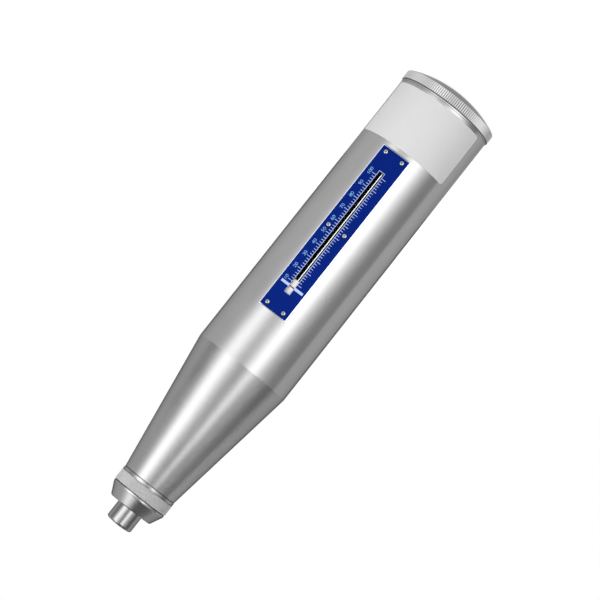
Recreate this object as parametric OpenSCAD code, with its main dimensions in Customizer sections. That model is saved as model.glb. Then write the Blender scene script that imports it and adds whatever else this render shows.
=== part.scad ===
// Concrete test hammer: a spring throws a mass at a plunger and a rider shows how far it rebounds
// It stands on its rear cap, with Z up the axis to the plunger and the scale facing minus Y
// All sizes are in millimetres

/* [Body] */
// Outside radius of the round housing
body_radius = 27; // [25:0.5:29]
// Thickness of the housing wall around the main bore
wall = 4.5; // [4.2:0.1:4.8]
// Height at which the round housing turns into the cone
cone_start = 177.2; // [174:0.2:182]
// Height of the front end of the cone
cone_end = 252.1; // [249:0.1:256]
// Outside radius of the front end of the cone
cone_end_radius = 15.6; // [15.4:0.05:16.6]
// Radius of the edge between the round housing and the cone
cone_edge = 3; // [2:0.5:20]

/* [Rear cap] */
// Height of the rear cap, from its land to the housing
cap_height = 10.1; // [9.6:0.1:11]
// Radius of the flat land that the hammer stands on
land_radius = 12; // [11.5:0.5:14]
// Radius of the domed rear end
dome_radius = 63; // [58:1:80]
// Number of ridges around the rear grip band
cap_ridges = 150; // [100:10:180]

/* [Nose cap] */
// Length of the smooth ring behind the grip band
nose_ring_length = 1.9; // [1.5:0.1:2.5]
// Length of the grip band
nose_band_length = 6.1; // [5:0.1:7]
// Length of the front, from the grip band to the front face
nose_taper_length = 7.8; // [7:0.1:9]
// Length of the smooth land between the grip band and the taper
nose_land_length = 1.1; // [0.8:0.1:1.6]
// Radius of the front face
nose_face_radius = 12.5; // [11.8:0.1:13]
// Number of ridges around the nose grip band
nose_ridges = 90; // [60:10:120]

/* [Plunger] */
// Radius of the plunger
plunger_radius = 7.35; // [6.8:0.05:7.8]
// How far the plunger stands out of the nose when it is locked in
stub_length = 10.3; // [8:0.1:14]
// Radius of the plunger's domed tip
tip_radius = 32; // [25:1:60]
// Travel of the plunger and of the hammer mass
stroke = 75; // [68:1:76]

/* [Scale] */
// Height of the rear end of the scale plate
plate_start = 45.9; // [45:0.1:47]
// Length of the scale plate
plate_length = 101.5; // [100:0.1:102]
// Width of the scale plate
plate_width = 16.9; // [16:0.1:17.4]
// Thickness of the scale plate
plate_thickness = 0.6; // [0.5:0.1:1]
// Distance from either end of the scale plate to its slot
slot_margin = 12.4; // [12:0.1:13]
// Width of the slot in the scale plate
slot_width = 3; // [2.6:0.1:3.4]
// Head radius of the plate's screws
screw_head_radius = 1.25; // [1.1:0.05:1.4]
// Thickness of the clear window under the slot
window_thickness = 0.5; // [0.4:0.05:0.8]

/* [Rider] */
// Length of the rider
rider_length = 8.4; // [7:0.2:9]
// Radius of the rod that the rider slides on
rod_radius = 0.6; // [0.5:0.05:0.65]

/* [Hammer mass] */
// Length of the round part of the hammer mass
mass_length = 39.8; // [36:0.2:42]
// Radius of the bar that guides the hammer mass
bar_radius = 4; // [3.6:0.1:4.4]
// Length of the guide bar's end inside the plunger
bar_seat = 25; // [22:0.5:28]
// Distance from the rear cap to the guide disk
disk_rest = 26.9; // [26.5:0.1:28]
// Thickness of the guide disk
disk_thickness = 8; // [7.6:0.1:8.4]
// Length of the guide sleeve behind the front end of the cone
sleeve_length = 26.1; // [25:0.1:27]

/* [Springs] */
// Turns of the impact spring
impact_turns = 24; // [18:1:24]
// Turns of the compression spring behind the guide disk
return_turns = 12; // [8:1:12]
// Wire radius of the impact spring
impact_wire = 0.9; // [0.7:0.05:0.95]
// Wire radius of the compression spring
return_wire = 0.7; // [0.5:0.05:0.75]

/* [Fits] */
// Radial gap between pieces that slide or turn
running_gap = 0.08; // [0.04:0.01:0.1]
// Radial gap between pieces that stay together
seat_gap = 0.03; // [0.02:0.01:0.05]

/* [Hidden] */
// Sides of the true curves
$fn = 96;
// Main bore and the narrower bore whose step stops the guide disk
bore_radius = body_radius - wall;
stop_radius = bore_radius - 1.5;
// Guide disk at rest
disk_start = cap_height + disk_rest;
disk_end = disk_start + disk_thickness;
disk_mid = disk_start + disk_thickness / 2;
disk_radius = bore_radius - running_gap;
stop_height = disk_end + stroke + 1;
// Hammer mass at rest, hooked behind its flange
mass_radius = bore_radius - 4.2;
flange_start = disk_end + 2;
flange_end = flange_start + 3.5;
flange_radius = 10;
neck_end = flange_end + 4.7;
neck_radius = 7.5;
mass_front = neck_end + mass_length;
spigot_end = mass_front + 4;
spigot_radius = 8.4;
// Plunger and guide bar at rest
plunger_rear = spigot_end + stroke;
nose_face = cone_end + nose_ring_length + nose_band_length + nose_taper_length;
tip_height = nose_face + stub_length;
bar_end = plunger_rear + bar_seat;
socket_end = bar_end + 17;
// Guide sleeve, split ring and felt washer in the nose
sleeve_shoulder = cone_end - sleeve_length;
sleeve_rear = sleeve_shoulder - 8;
sleeve_radius = 12.25;
collar_end = cone_end + 7;
ring_length = 2;
sleeve_front = collar_end + ring_length + 1.4;
collar_radius = 13.5;
felt_start = sleeve_front + 0.2;
felt_length = 2.6;
felt_radius = 10.9;
groove_radius = 10.8;
nose_radius = 15.85;
// Scale plate, window and rider, with the depths measured from the axis
plate_end = plate_start + plate_length;
plate_top = sqrt(body_radius * body_radius - plate_width * plate_width / 4) + 0.28;
plate_floor = plate_top - plate_thickness;
plate_bevel = 0.4;
bevel_drop = 0.2;
slot_start = plate_start + slot_margin + 0.1;
slot_end = plate_end - slot_margin + 0.1;
slot_length = slot_end - slot_start;
window_half = 3.7;
window_floor = plate_floor - window_thickness;
screw_x = 5.05;
screw_heights = [plate_start + 2.8, plate_start + plate_length / 2 - 1.4, plate_end - 2.9];
shank_radius = 0.75;
rider_top = window_floor - 0.2;
rider_bottom = bore_radius - 3.7;
rod_depth = rider_top - 1.7;
rider_front = slot_end + 0.4;
rider_rear = rider_front - rider_length;
rider_mid = rider_front - rider_length / 2;
rider_half = 2.25;
// Lugs of the rod: the rear hole is deep, so that the rod is pushed back into it and then into the front hole
lug_inner = bore_radius - 3.7;
lug_half = 2.6;
lug_length = 8;
rear_lug = slot_start - 1.6 - lug_length;
front_lug = slot_end + 1.4;
rod_seat = 3.4;
rod_start = slot_start - 1.6 - rod_seat;
rod_length = slot_end + 1.4 + rod_seat - rod_start;
// Pawl pin, and the screw that trips the pawl at the end of the stroke
pin_depth = 12;
pin_radius = 1.2;
pawl_half = 1.95;
trip_end = disk_start - 13;
trip_radius = 4;
cap_floor = cap_height - 1.5;
recess_depth = 3.8;
cap_radius = body_radius + 0.55;
dome_end = cap_radius - 0.85;
dome_base = sqrt(dome_radius * dome_radius - land_radius * land_radius);
cap_rim = dome_base - sqrt(dome_radius * dome_radius - dome_end * dome_end);
// Push button across the housing, just ahead of the guide disk
button_height = disk_end + 3.2;
bush_radius = 6.5;
bush_inner = bore_radius + 0.05;
bush_outer = body_radius + 1.4;
lip_depth = 1;
flange_top = bush_outer - lip_depth - 0.02;
flange_low = flange_top - 0.9;
button_top = body_radius + 2.4;
stem_radius = 2;
spring_floor = bush_inner + 0.7;

// Points of an arc about a centre, from one angle to another
function arc(x, y, r, a, b, n) =
  [for (i = [0 : n]) let (q = a + (b - a) * i / n) [x + r * cos(q), y + r * sin(q)]];

// Outline of a ridged grip band
function ridge_points(r, depth, n) =
  [for (i = [0 : 2 * n - 1]) let (a = 180 * i / n, q = r - (i % 2) * depth) [q * cos(a), q * sin(a)]];

// One wire ring of a wound spring
function wire_ring(r, w, a, z) =
  [for (j = [0 : 5]) [(r + w * cos(60 * j)) * cos(a), (r + w * cos(60 * j)) * sin(a), z + w * sin(60 * j)]];

// A wound spring that stands on z = 0
module wound(r, w, turns, length) {
  n = turns * 12;
  points = [for (i = [0 : n]) each wire_ring(r, w, 30 * i, w + i * (length - 2 * w) / n)];
  sides = [for (i = [0 : n - 1]) for (j = [0 : 5]) let (a = 6 * i + j, b = 6 * i + (j + 1) % 6)
    each [[a, b, b + 6], [a, b + 6, a + 6]]];
  ends = [[5, 4, 3, 2, 1, 0], [for (j = [0 : 5]) 6 * n + j]];
  polyhedron(points = points, faces = concat(sides, ends));
}

// A round bar along Y, from one depth to another
module along_y(r, y0, y1) {
  translate([0, y1, 0])
    rotate([90, 0, 0])
      cylinder(r = r, h = y1 - y0);
}

// A round bar along X, centred
module along_x(r, half) {
  translate([-half, 0, 0])
    rotate([0, 90, 0])
      cylinder(r = r, h = 2 * half);
}

// A support for the rider's rod, grown out of the bore
module rod_lug(z) {
  translate([-lug_half, -bore_radius - 0.8, z])
    cube([2 * lug_half, bore_radius + 0.8 - lug_inner, lug_length]);
}

// Section of the housing shell
module housing_section() {
  blend = atan((body_radius - cone_end_radius) / (cone_end - cone_start));
  rise = cone_edge * tan(blend / 2);
  outer = concat(
    [[bore_radius, cap_height], [body_radius - 0.3, cap_height], [body_radius, cap_height + 0.3],
      [body_radius, cap_height + 1], [body_radius - 0.15, cap_height + 1.1],
      [body_radius - 0.15, cap_height + 1.25], [body_radius, cap_height + 1.35]],
    arc(body_radius - cone_edge, cone_start - rise, cone_edge, 0, blend, 2),
    [[cone_end_radius, cone_end - 0.25], [cone_end_radius - 0.3, cone_end]]);
  inner = [[collar_radius, cone_end], [collar_radius, collar_end - 0.4], [collar_radius - 0.4, collar_end],
    [sleeve_radius + seat_gap, collar_end], [sleeve_radius + seat_gap, sleeve_shoulder + 10],
    [stop_radius, cone_start + 0.6], [stop_radius, stop_height], [bore_radius, stop_height]];
  polygon(concat(outer, inner));
}

module housing() {
  color("#c8cacc")
  difference() {
    union() {
      rotate_extrude()
        housing_section();
      rod_lug(rear_lug);
      rod_lug(front_lug);
    }
    // Flat pocket for the scale plate
    translate([-plate_width / 2 - 0.05, -body_radius - 5, plate_start - 0.05])
      cube([plate_width + 0.1, body_radius + 5 - plate_floor, plate_length + 0.1]);
    // Seat of the window and the slot under it
    translate([-window_half - seat_gap, -plate_floor - 1, slot_start - 2.6])
      cube([2 * window_half + 2 * seat_gap, 1 + window_thickness, slot_length + 5.2]);
    translate([-2.5, -plate_floor - 1, slot_start - 1.6])
      cube([5, plate_floor + 1 - bore_radius + 2, slot_length + 3]);
    // Screw holes and rod holes
    for (x = [-screw_x, screw_x])
      for (z = screw_heights)
        translate([x, 0, z])
          along_y(shank_radius + seat_gap, -plate_floor - 1, -plate_floor + 2.2);
    translate([0, -rod_depth, rod_start - rod_seat - 0.6])
      cylinder(r = rod_radius + seat_gap, h = rod_length + rod_seat + 0.65);
    // Hole of the button bush
    translate([0, 0, button_height])
      along_y(bush_radius + seat_gap, bore_radius - 2, body_radius + 5);
  }
}

// Section of the rear cap, with the dome and the spigot that enters the housing
module rear_cap_section() {
  a0 = -asin(sqrt(1 - pow(land_radius / dome_radius, 2)));
  a1 = -asin(sqrt(1 - pow(dome_end / dome_radius, 2)));
  polygon(concat(
    [[10, 0]],
    arc(0, dome_base, dome_radius, a0, a1, 10),
    [[cap_radius - 0.58, cap_rim + 0.14], [cap_radius - 0.45, cap_rim + 0.4],
      [cap_radius - 0.45, cap_height - 0.3], [body_radius - 0.3, cap_height],
      [bore_radius - seat_gap, cap_height],
      [bore_radius - seat_gap, cap_height + 7.5], [bore_radius - 0.5, cap_height + 8],
      [bore_radius - 2.9, cap_height + 8], [bore_radius - 2.9, cap_floor], [8, cap_floor],
      [8, cap_floor + 4.4], [trip_radius + seat_gap, cap_floor + 4.4], [trip_radius + seat_gap, recess_depth],
      [10, recess_depth]]));
}

module rear_cap() {
  color("#b9bbbd") {
    rotate_extrude()
      rear_cap_section();
    // Ridged grip band
    difference() {
      translate([0, 0, cap_rim + 0.4])
        linear_extrude(height = cap_height - 0.6 - cap_rim)
          polygon(ridge_points(cap_radius, 0.3, cap_ridges));
      translate([0, 0, -1])
        cylinder(r = cap_radius - 1, h = cap_height + 2);
    }
  }
}

module trip_screw() {
  color("#8d9093")
  difference() {
    union() {
      translate([0, 0, 1.3])
        cylinder(r = trip_radius, h = trip_end - 2.5);
      translate([0, 0, 0.7])
        cylinder(r1 = trip_radius - 0.6, r2 = trip_radius, h = 0.6);
      translate([0, 0, trip_end - 1.2])
        cylinder(r1 = trip_radius, r2 = trip_radius - 1.2, h = 1.2);
    }
    translate([-trip_radius - 1, -0.6, 0])
      cube([2 * trip_radius + 2, 1.2, 2.3]);
  }
}

module trip_lock_nut() {
  color("#9a9da0")
  difference() {
    intersection() {
      translate([0, 0, 0.5])
        cylinder(r = 7.5, h = recess_depth - 0.5, $fn = 6);
      rotate_extrude()
        polygon([[0, 0.5], [6.6, 0.5], [7.6, 1.1], [7.6, recess_depth], [0, recess_depth]]);
    }
    translate([0, 0, -1])
      cylinder(r = trip_radius + seat_gap, h = recess_depth + 2);
  }
}

// Section of the nose cap
module nose_cap_section() {
  band_start = cone_end + nose_ring_length;
  band_end = band_start + nose_band_length;
  band_radius = nose_radius - 0.3;
  land_start = band_end + 0.3;
  land_end = land_start + nose_land_length;
  polygon([[collar_radius + seat_gap, cone_end], [cone_end_radius - 0.35, cone_end],
    [cone_end_radius - 0.1, cone_end + 0.3], [nose_radius - 0.12, cone_end + 0.5],
    [nose_radius - 0.2, band_start - 0.2], [band_radius, band_start],
    [band_radius, band_end], [nose_radius - 0.55, band_end], [nose_radius - 0.55, land_start - 0.1],
    [nose_radius - 0.22, land_start], [nose_radius - 0.3, land_end], [nose_radius - 0.45, land_end + 0.2],
    [nose_face_radius, nose_face - 0.35], [nose_face_radius - 0.4, nose_face],
    [plunger_radius + running_gap, nose_face], [plunger_radius + running_gap, felt_start + felt_length],
    [felt_radius + seat_gap, felt_start + felt_length], [felt_radius + seat_gap, felt_start],
    [sleeve_radius + seat_gap, felt_start], [sleeve_radius + seat_gap, collar_end + ring_length + 0.02],
    [collar_radius + seat_gap, collar_end + ring_length + 0.02]]);
}

module nose_cap() {
  color("#b9bbbd") {
    rotate_extrude()
      nose_cap_section();
    // Ridged grip band
    difference() {
      translate([0, 0, cone_end + nose_ring_length])
        linear_extrude(height = nose_band_length)
          polygon(ridge_points(nose_radius, 0.3, nose_ridges));
      translate([0, 0, cone_end - 1])
        cylinder(r = nose_radius - 0.9, h = nose_band_length + 6);
    }
  }
}

module felt_washer() {
  color("#d8d3c4")
  translate([0, 0, felt_start])
    difference() {
      cylinder(r = felt_radius, h = felt_length);
      translate([0, 0, -1])
        cylinder(r = plunger_radius + running_gap, h = felt_length + 2);
    }
}

// Two half rings that hold the guide sleeve
module split_ring() {
  color("#a5a8ab")
  translate([0, 0, collar_end])
    difference() {
      cylinder(r = collar_radius, h = ring_length);
      translate([0, 0, -1])
        cylinder(r = groove_radius + seat_gap, h = ring_length + 2);
      translate([-0.2, -collar_radius - 1, -1])
        cube([0.4, 2 * collar_radius + 2, ring_length + 2]);
    }
}

module guide_sleeve() {
  color("#c8a95a")
  rotate_extrude()
    polygon([[plunger_radius + running_gap, sleeve_rear], [spigot_radius, sleeve_rear],
      [spigot_radius, sleeve_shoulder], [sleeve_radius, sleeve_shoulder], [sleeve_radius, collar_end],
      [groove_radius, collar_end], [groove_radius, collar_end + ring_length],
      [sleeve_radius, collar_end + ring_length], [sleeve_radius, sleeve_front],
      [plunger_radius + running_gap, sleeve_front]]);
}

module scale_plate() {
  half = plate_width / 2;
  color("#0a2a86")
  difference() {
    intersection() {
      translate([0, 0, plate_start])
        linear_extrude(height = plate_length)
          polygon([[-half, -plate_floor], [half, -plate_floor], [half, bevel_drop - plate_top],
            [half - plate_bevel, -plate_top], [plate_bevel - half, -plate_top],
            [-half, bevel_drop - plate_top]]);
      translate([-half - 1, 0, 0])
        rotate([90, 0, 90])
          linear_extrude(height = plate_width + 2)
            polygon([[-plate_floor, plate_start], [-plate_floor, plate_end],
              [bevel_drop - plate_top, plate_end], [-plate_top, plate_end - plate_bevel],
              [-plate_top, plate_start + plate_bevel],
              [bevel_drop - plate_top, plate_start]]);
    }
    translate([-slot_width / 2, -plate_top - 1, slot_start])
      cube([slot_width, plate_thickness + 2, slot_length]);
    for (x = [-screw_x, screw_x])
      for (z = screw_heights)
        translate([x, 0, z])
          along_y(shank_radius + seat_gap, -plate_top - 1, -plate_floor + 1);
  }
}

// One domed screw of the plate with a cross recess
module plate_screw() {
  rotate([90, 0, 0])
    difference() {
      rotate_extrude($fn = 32)
        polygon([[0, plate_floor - 1.9], [shank_radius, plate_floor - 1.9], [shank_radius, plate_top],
          [screw_head_radius, plate_top], [screw_head_radius, plate_top + 0.15],
          [screw_head_radius * 0.93, plate_top + 0.4], [screw_head_radius * 0.76, plate_top + 0.65],
          [screw_head_radius * 0.5, plate_top + 0.82], [0, plate_top + 0.92]]);
      for (a = [0, 90])
        rotate([0, 0, a])
          translate([-0.72, -0.2, plate_top + 0.2])
            cube([1.44, 0.4, 2]);
      translate([0, 0, plate_top - 0.4])
        cylinder(r1 = 0.06, r2 = 0.66, h = 1.4, $fn = 24);
    }
}

module plate_screws() {
  color("#d5d7d9")
  for (x = [-screw_x, screw_x])
    for (z = screw_heights)
      translate([x, 0, z])
        plate_screw();
}

module window() {
  color("#dfeaf0")
  translate([-window_half, -plate_floor, slot_start - 2.57])
    cube([2 * window_half, window_thickness, slot_length + 5.14]);
}

module rider_rod() {
  color("#d9dbdc")
  translate([0, -rod_depth, rod_start])
    cylinder(r = rod_radius, h = rod_length);
}

// The index block that the hammer mass drags along the rod
module rider() {
  color("#ece8dc")
  difference() {
    translate([-rider_half, -rider_top, rider_rear])
      cube([2 * rider_half, rider_top - rider_bottom, rider_length]);
    translate([0, -rod_depth, rider_rear - 1])
      cylinder(r = rod_radius + running_gap, h = rider_length + 2);
    translate([-rider_half - 1, -rider_top - 1, rider_mid - 0.3])
      cube([2 * rider_half + 2, 1.2, 0.6]);
  }
}

module rider_line() {
  color("#d0202a")
  translate([-rider_half, -rider_top - 0.02, rider_mid - 0.29])
    cube([2 * rider_half, 0.22, 0.58]);
}

// Thin spring strip under the rider, bent up at its rear end
module rider_leaf() {
  color("#8f8a78")
  translate([-1.5, 0, 0])
    rotate([90, 0, 90])
      linear_extrude(height = 3)
        polygon([[-rider_bottom, rider_front - 1], [-rider_bottom, rider_rear - 0.15],
          [-rider_bottom - 0.62, rider_rear - 0.95], [-rider_bottom - 0.46, rider_rear - 1.07],
          [-rider_bottom + 0.2, rider_rear - 0.25], [-rider_bottom + 0.2, rider_front - 1]]);
}

module plunger() {
  drop = tip_radius - sqrt(tip_radius * tip_radius - pow(plunger_radius - 0.8, 2));
  end = asin((plunger_radius - 0.8) / tip_radius);
  color("#a9acaf")
  rotate_extrude()
    polygon(concat(
      [[0, socket_end], [bar_radius + seat_gap, socket_end], [bar_radius + seat_gap, plunger_rear],
        [plunger_radius - 0.5, plunger_rear], [plunger_radius, plunger_rear + 0.5],
        [plunger_radius, tip_height - drop - 0.85], [plunger_radius - 0.2, tip_height - drop - 0.4]],
      arc(0, tip_height - tip_radius, tip_radius, 90 - end, 90, 8)));
}

module guide_bar() {
  color("#b4b7ba")
  difference() {
    translate([0, 0, disk_start])
      cylinder(r = bar_radius, h = bar_end - disk_start);
    translate([0, 0, disk_mid])
      along_x(1 + seat_gap, bar_radius + 1);
  }
}

module guide_disk() {
  color("#9c9fa2")
  difference() {
    translate([0, 0, disk_start])
      cylinder(r = disk_radius, h = disk_end - disk_start);
    translate([0, 0, disk_start - 1])
      cylinder(r = bar_radius + seat_gap, h = disk_thickness + 2);
    // Notch that clears the rider's rod and its lugs
    translate([-3.3, -disk_radius - 1, disk_start - 1])
      cube([6.6, disk_radius + 1 - lug_inner + 0.9, disk_thickness + 2]);
    // Slot of the pawl, and the two pin holes
    translate([-pawl_half - 0.12, 7, disk_start - 1])
      cube([2 * pawl_half + 0.24, 9.5, disk_thickness + 2]);
    translate([0, 0, disk_mid])
      along_x(1 + seat_gap, disk_radius + 1);
    translate([0, pin_depth, disk_mid])
      along_x(pin_radius + seat_gap, disk_radius + 1);
  }
}

module bar_pin() {
  color("#84878a")
  translate([0, 0, disk_mid])
    along_x(1, 11);
}

module buffer_spring() {
  color("#8f9295")
  translate([0, 0, bar_end + 0.1])
    wound(bar_radius - 1.1, 0.5, 8, socket_end - bar_end - 0.2);
}

module hammer_mass() {
  inner = bar_radius + running_gap;
  color("#8b8e91")
  rotate_extrude()
    polygon([[inner, flange_start], [flange_radius - 0.4, flange_start], [flange_radius, flange_start + 0.4],
      [flange_radius, flange_end], [neck_radius, flange_end], [neck_radius, neck_end],
      [mass_radius - 0.6, neck_end], [mass_radius, neck_end + 0.6], [mass_radius, mass_front - 0.6],
      [mass_radius - 0.6, mass_front], [spigot_radius, mass_front], [spigot_radius, spigot_end - 0.5],
      [spigot_radius - 0.5, spigot_end], [inner, spigot_end]]);
}

module impact_spring() {
  color("#7d8083")
  translate([0, 0, mass_front])
    wound(spigot_radius + 0.7 + impact_wire, impact_wire, impact_turns, sleeve_shoulder - mass_front);
}

module return_spring() {
  color("#7d8083")
  translate([0, 0, cap_floor])
    wound(bore_radius - 4.4, return_wire, return_turns, disk_start - cap_floor);
}

// Hook that carries the hammer mass back and is tripped by the screw in the rear cap
module pawl() {
  hook = flange_end - disk_mid + 0.08;
  color("#6f7275")
  translate([0, pin_depth, disk_mid])
    rotate([90, 0, 90])
      difference() {
        translate([0, 0, -pawl_half])
          linear_extrude(height = 2 * pawl_half)
            polygon([[2.6, -5], [2.6, hook + 2.22], [1.8, hook + 3.02], [-3.3, hook + 3.02],
              [-4.1, hook + 2.22], [-4.1, hook], [-1.4, hook], [-1.4, -3.5], [-4.6, -13.5],
              [-10.5, -13.5], [-10.5, -16.7], [-3.5, -16.7], [0.5, -11]]);
        translate([0, 0, -pawl_half - 1])
          cylinder(r = pin_radius + running_gap, h = 2 * pawl_half + 2);
      }
}

module pawl_pin() {
  color("#84878a")
  translate([0, pin_depth, disk_mid])
    along_x(pin_radius, 9);
}

module pawl_spring() {
  color("#8f9295")
  translate([0, 4.6, disk_mid - 13.5])
    wound(1.5, 0.3, 6, 9.5);
}

// Screwed bush that guides the push button
module button_bush() {
  color("#aeb1b4")
  translate([0, 0, button_height])
    difference() {
      union() {
        along_y(bush_radius, bush_inner, bush_outer - 0.4);
        along_y(bush_radius - 0.5, bush_inner, bush_outer);
      }
      along_y(stem_radius + running_gap, bush_inner - 1, bush_outer);
      along_y(4.3, spring_floor, bush_outer - lip_depth);
      along_y(3.3 + running_gap, spring_floor, bush_outer + 1);
    }
}

module push_button() {
  color("#2f3134")
  translate([0, 0, button_height]) {
    along_y(stem_radius, bush_inner + 0.05, button_top - 1);
    along_y(4.2, flange_low, flange_top);
    along_y(3.3, flange_low, button_top - 0.4);
    along_y(2.9, flange_low, button_top);
  }
}

module button_spring() {
  color("#8f9295")
  translate([0, spring_floor + 0.02, button_height])
    rotate([-90, 0, 0])
      wound(3, 0.16, 3, flange_low - spring_floor - 0.04);
}

housing();
rear_cap();
trip_screw();
trip_lock_nut();
nose_cap();
felt_washer();
split_ring();
guide_sleeve();
scale_plate();
plate_screws();
window();
rider_rod();
rider();
rider_line();
rider_leaf();
plunger();
guide_bar();
guide_disk();
bar_pin();
buffer_spring();
hammer_mass();
impact_spring();
return_spring();
pawl();
pawl_pin();
pawl_spring();
button_bush();
push_button();
button_spring();
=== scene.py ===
"""Dresses a concrete test hammer: metal finishes, knurled caps, wound springs, scale and blank label."""

import math

import bpy
from mathutils import Matrix, Vector


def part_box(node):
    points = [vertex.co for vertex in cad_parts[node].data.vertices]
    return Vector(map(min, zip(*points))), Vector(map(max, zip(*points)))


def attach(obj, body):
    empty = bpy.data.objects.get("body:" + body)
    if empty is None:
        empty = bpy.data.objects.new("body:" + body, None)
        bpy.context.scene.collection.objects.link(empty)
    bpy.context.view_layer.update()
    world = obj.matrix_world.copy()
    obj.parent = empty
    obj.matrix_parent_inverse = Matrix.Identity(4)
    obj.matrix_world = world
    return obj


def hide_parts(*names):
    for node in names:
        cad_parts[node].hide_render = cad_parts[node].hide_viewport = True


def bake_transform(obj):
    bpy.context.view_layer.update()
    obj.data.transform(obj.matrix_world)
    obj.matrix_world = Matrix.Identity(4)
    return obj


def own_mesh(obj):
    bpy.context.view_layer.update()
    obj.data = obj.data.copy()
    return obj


bl_info = {
    "name": "Concrete test hammer",
    "version": (1, 0, 0),
    "blender": (4, 5, 0),
    "location": "View3D > Sidebar > Hammer",
    "description": "Dresses a concrete test hammer with its finishes, knurls, springs, scale and label",
    "category": "Object",
}

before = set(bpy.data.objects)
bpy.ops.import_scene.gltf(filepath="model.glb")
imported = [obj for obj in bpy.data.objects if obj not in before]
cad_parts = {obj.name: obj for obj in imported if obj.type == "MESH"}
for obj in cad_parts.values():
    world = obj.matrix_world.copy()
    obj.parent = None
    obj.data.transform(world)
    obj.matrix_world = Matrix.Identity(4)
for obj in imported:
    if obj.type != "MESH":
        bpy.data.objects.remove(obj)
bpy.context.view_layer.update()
MM = 0.001

# Places read from the frame, in metres
BODY_RADIUS = -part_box("housing")[0].x
PLATE_LOW, PLATE_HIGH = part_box("scale_plate")
PLATE_FACE = PLATE_LOW.y
START_MARK = sum(corner.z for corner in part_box("rider_line")) / 2

# Sizes of the solids that the frame's boxes don't give
PLATE_BEVEL = 0.4 * MM
SLOT_HALF = 1.5 * MM
SLOT_ENDS = (58.4 * MM, 135.1 * MM)
# Radius and front end of the housing's bore, in millimetres
HOUSING_BORE = (23.2, 176)


def linear(hex_colour):
    """An sRGB hex colour as linear red, green, blue and alpha."""
    parts = [int(hex_colour[i:i + 2], 16) / 255 for i in (1, 3, 5)]
    return tuple(c / 12.92 if c <= 0.04045 else ((c + 0.055) / 1.055) ** 2.4 for c in parts) + (1.0,)


def length(name, description, millimetres):
    """A size property, given in millimetres and kept in metres."""
    return bpy.props.FloatProperty(
        name=name, description=description, default=millimetres * MM,
        unit="LENGTH", subtype="DISTANCE", precision=5)


def colour(name, description, hex_colour):
    """A colour property, given as an sRGB hex value and kept linear."""
    return bpy.props.FloatVectorProperty(
        name=name, description=description, default=linear(hex_colour),
        size=4, subtype="COLOR", min=0, max=1)


def angle(name, description, degrees):
    """An angle property, given in degrees."""
    return bpy.props.FloatProperty(
        name=name, description=description, default=math.radians(degrees), unit="ROTATION", subtype="ANGLE")


def level(name, description, value):
    """A plain light level property."""
    return bpy.props.FloatProperty(
        name=name, description=description, default=value, min=0, subtype="FACTOR")


class HammerFinishes(bpy.types.PropertyGroup):
    """Colours of the hammer's finishes"""

    body: colour("Body", "Satin turned light alloy of the housing", "#A0A0A0")
    caps: colour("Caps", "Turned light alloy of the two caps", "#A0A0A0")
    knurl: colour("Knurls", "Pressed light alloy of the knurled bands", "#D0D0D0")
    steel: colour("Plunger", "Ground steel of the plunger", "#989898")
    rod: colour("Rod", "Polished steel of the rod that the rider slides on", "#F4F4EE")
    inner: colour("Inner steel", "Blackened steel of the pieces inside", "#3A3B3D")
    plate: colour("Scale plate", "Blue dye of the scale plate", "#06237A")
    ink: colour("Scale ink", "White ink of the scale, a little blue", "#B6C9F5")
    number_ink: colour("Number ink", "Pale blue ink of the numbers", "#84C2F2")
    rider: colour("Rider", "Ivory plastic of the rider", "#FFFBF0")
    mark: colour("Rider mark", "Red fill of the rider's index line", "#962838")
    label: colour("Label", "Pale grey vinyl of the blank label", "#DBDBDB")


class HammerKnurls(bpy.types.PropertyGroup):
    """Sizes of the knurled bands"""

    ridge: length("Ridge pitch", "Spacing of the straight ridges round the rear cap", 1.2)
    groove: length("Groove depth", "Depth of the grooves between the ridges", 0.34)
    diamond: length("Diamond pitch", "Spacing of the diamonds round the nose cap", 0.9)
    cut: length("Cut depth", "Depth of the cuts between the diamonds", 0.22)


class HammerPrint(bpy.types.PropertyGroup):
    """Sizes of the printed scale"""

    ink: length("Ink thickness", "How far the ink stands on the plate", 0.03)
    line: length("Line width", "Width of a scale line", 0.28)
    outline: length("Outline width", "Width of the line round the slot", 0.26)
    first: length("First mark", "Height of the mark for ten", 128.9)
    last: length("Last mark", "Height of the mark for a hundred", 61.0)
    long_line: length("Long line", "Length of a line at a full ten", 2.4)
    short_line: length("Short line", "Length of a line between the tens", 1.47)
    number: length("Number height", "Height of the numbers", 1.72)
    number_place: length("Number place", "Distance of the numbers from the middle of the plate", 5.4)
    start_bar: length("Start bar", "Thickness of the bars beside the rider's start", 1.4)


class HammerLabel(bpy.types.PropertyGroup):
    """Sizes of the blank label"""

    rear: length("Rear edge", "Height of the label's rear edge", 12.7)
    front: length("Front edge", "Height of the label's front edge", 43.5)
    corner: length("Corner radius", "Radius of the label's corners", 1.7)
    thickness: length("Thickness", "Thickness of the label", 0.1)
    left: angle("Plain side", "How far the label reaches round the side without numbers", 65.3)
    right: angle("Numbered side", "How far the label reaches round the numbered side", 64)


class HammerStage(bpy.types.PropertyGroup):
    """Camera and studio light"""

    lens: bpy.props.FloatProperty(
        name="Lens", description="Focal length on a sensor 36 mm wide",
        default=136.92, subtype="DISTANCE_CAMERA")
    distance: length("Distance", "Distance of the camera from the hammer's axis", 1160)
    azimuth: angle("Azimuth", "How far round the camera stands from the plate's front", -12)
    elevation: angle("Elevation", "How far the camera stands above the middle of the hammer", 4.62)
    lean: angle("Lean", "Angle of the hammer's axis in the picture", 51.7)
    aim: length("Aim height", "Height on the axis that the camera looks at", 131.9)
    offset: length("Aim offset", "Distance of the aim from the axis, across the picture", 1.88)
    key: level("Key light", "Brightness of the tall softbox", 2.62)
    fill: level("Fill light", "Brightness of the low softbox", 2.36)
    rear: level("Rear light", "Brightness of the narrow softbox behind the hammer", 2.0)
    room: level("Room light", "Brightness of the room on matt surfaces", 0.45)


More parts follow.
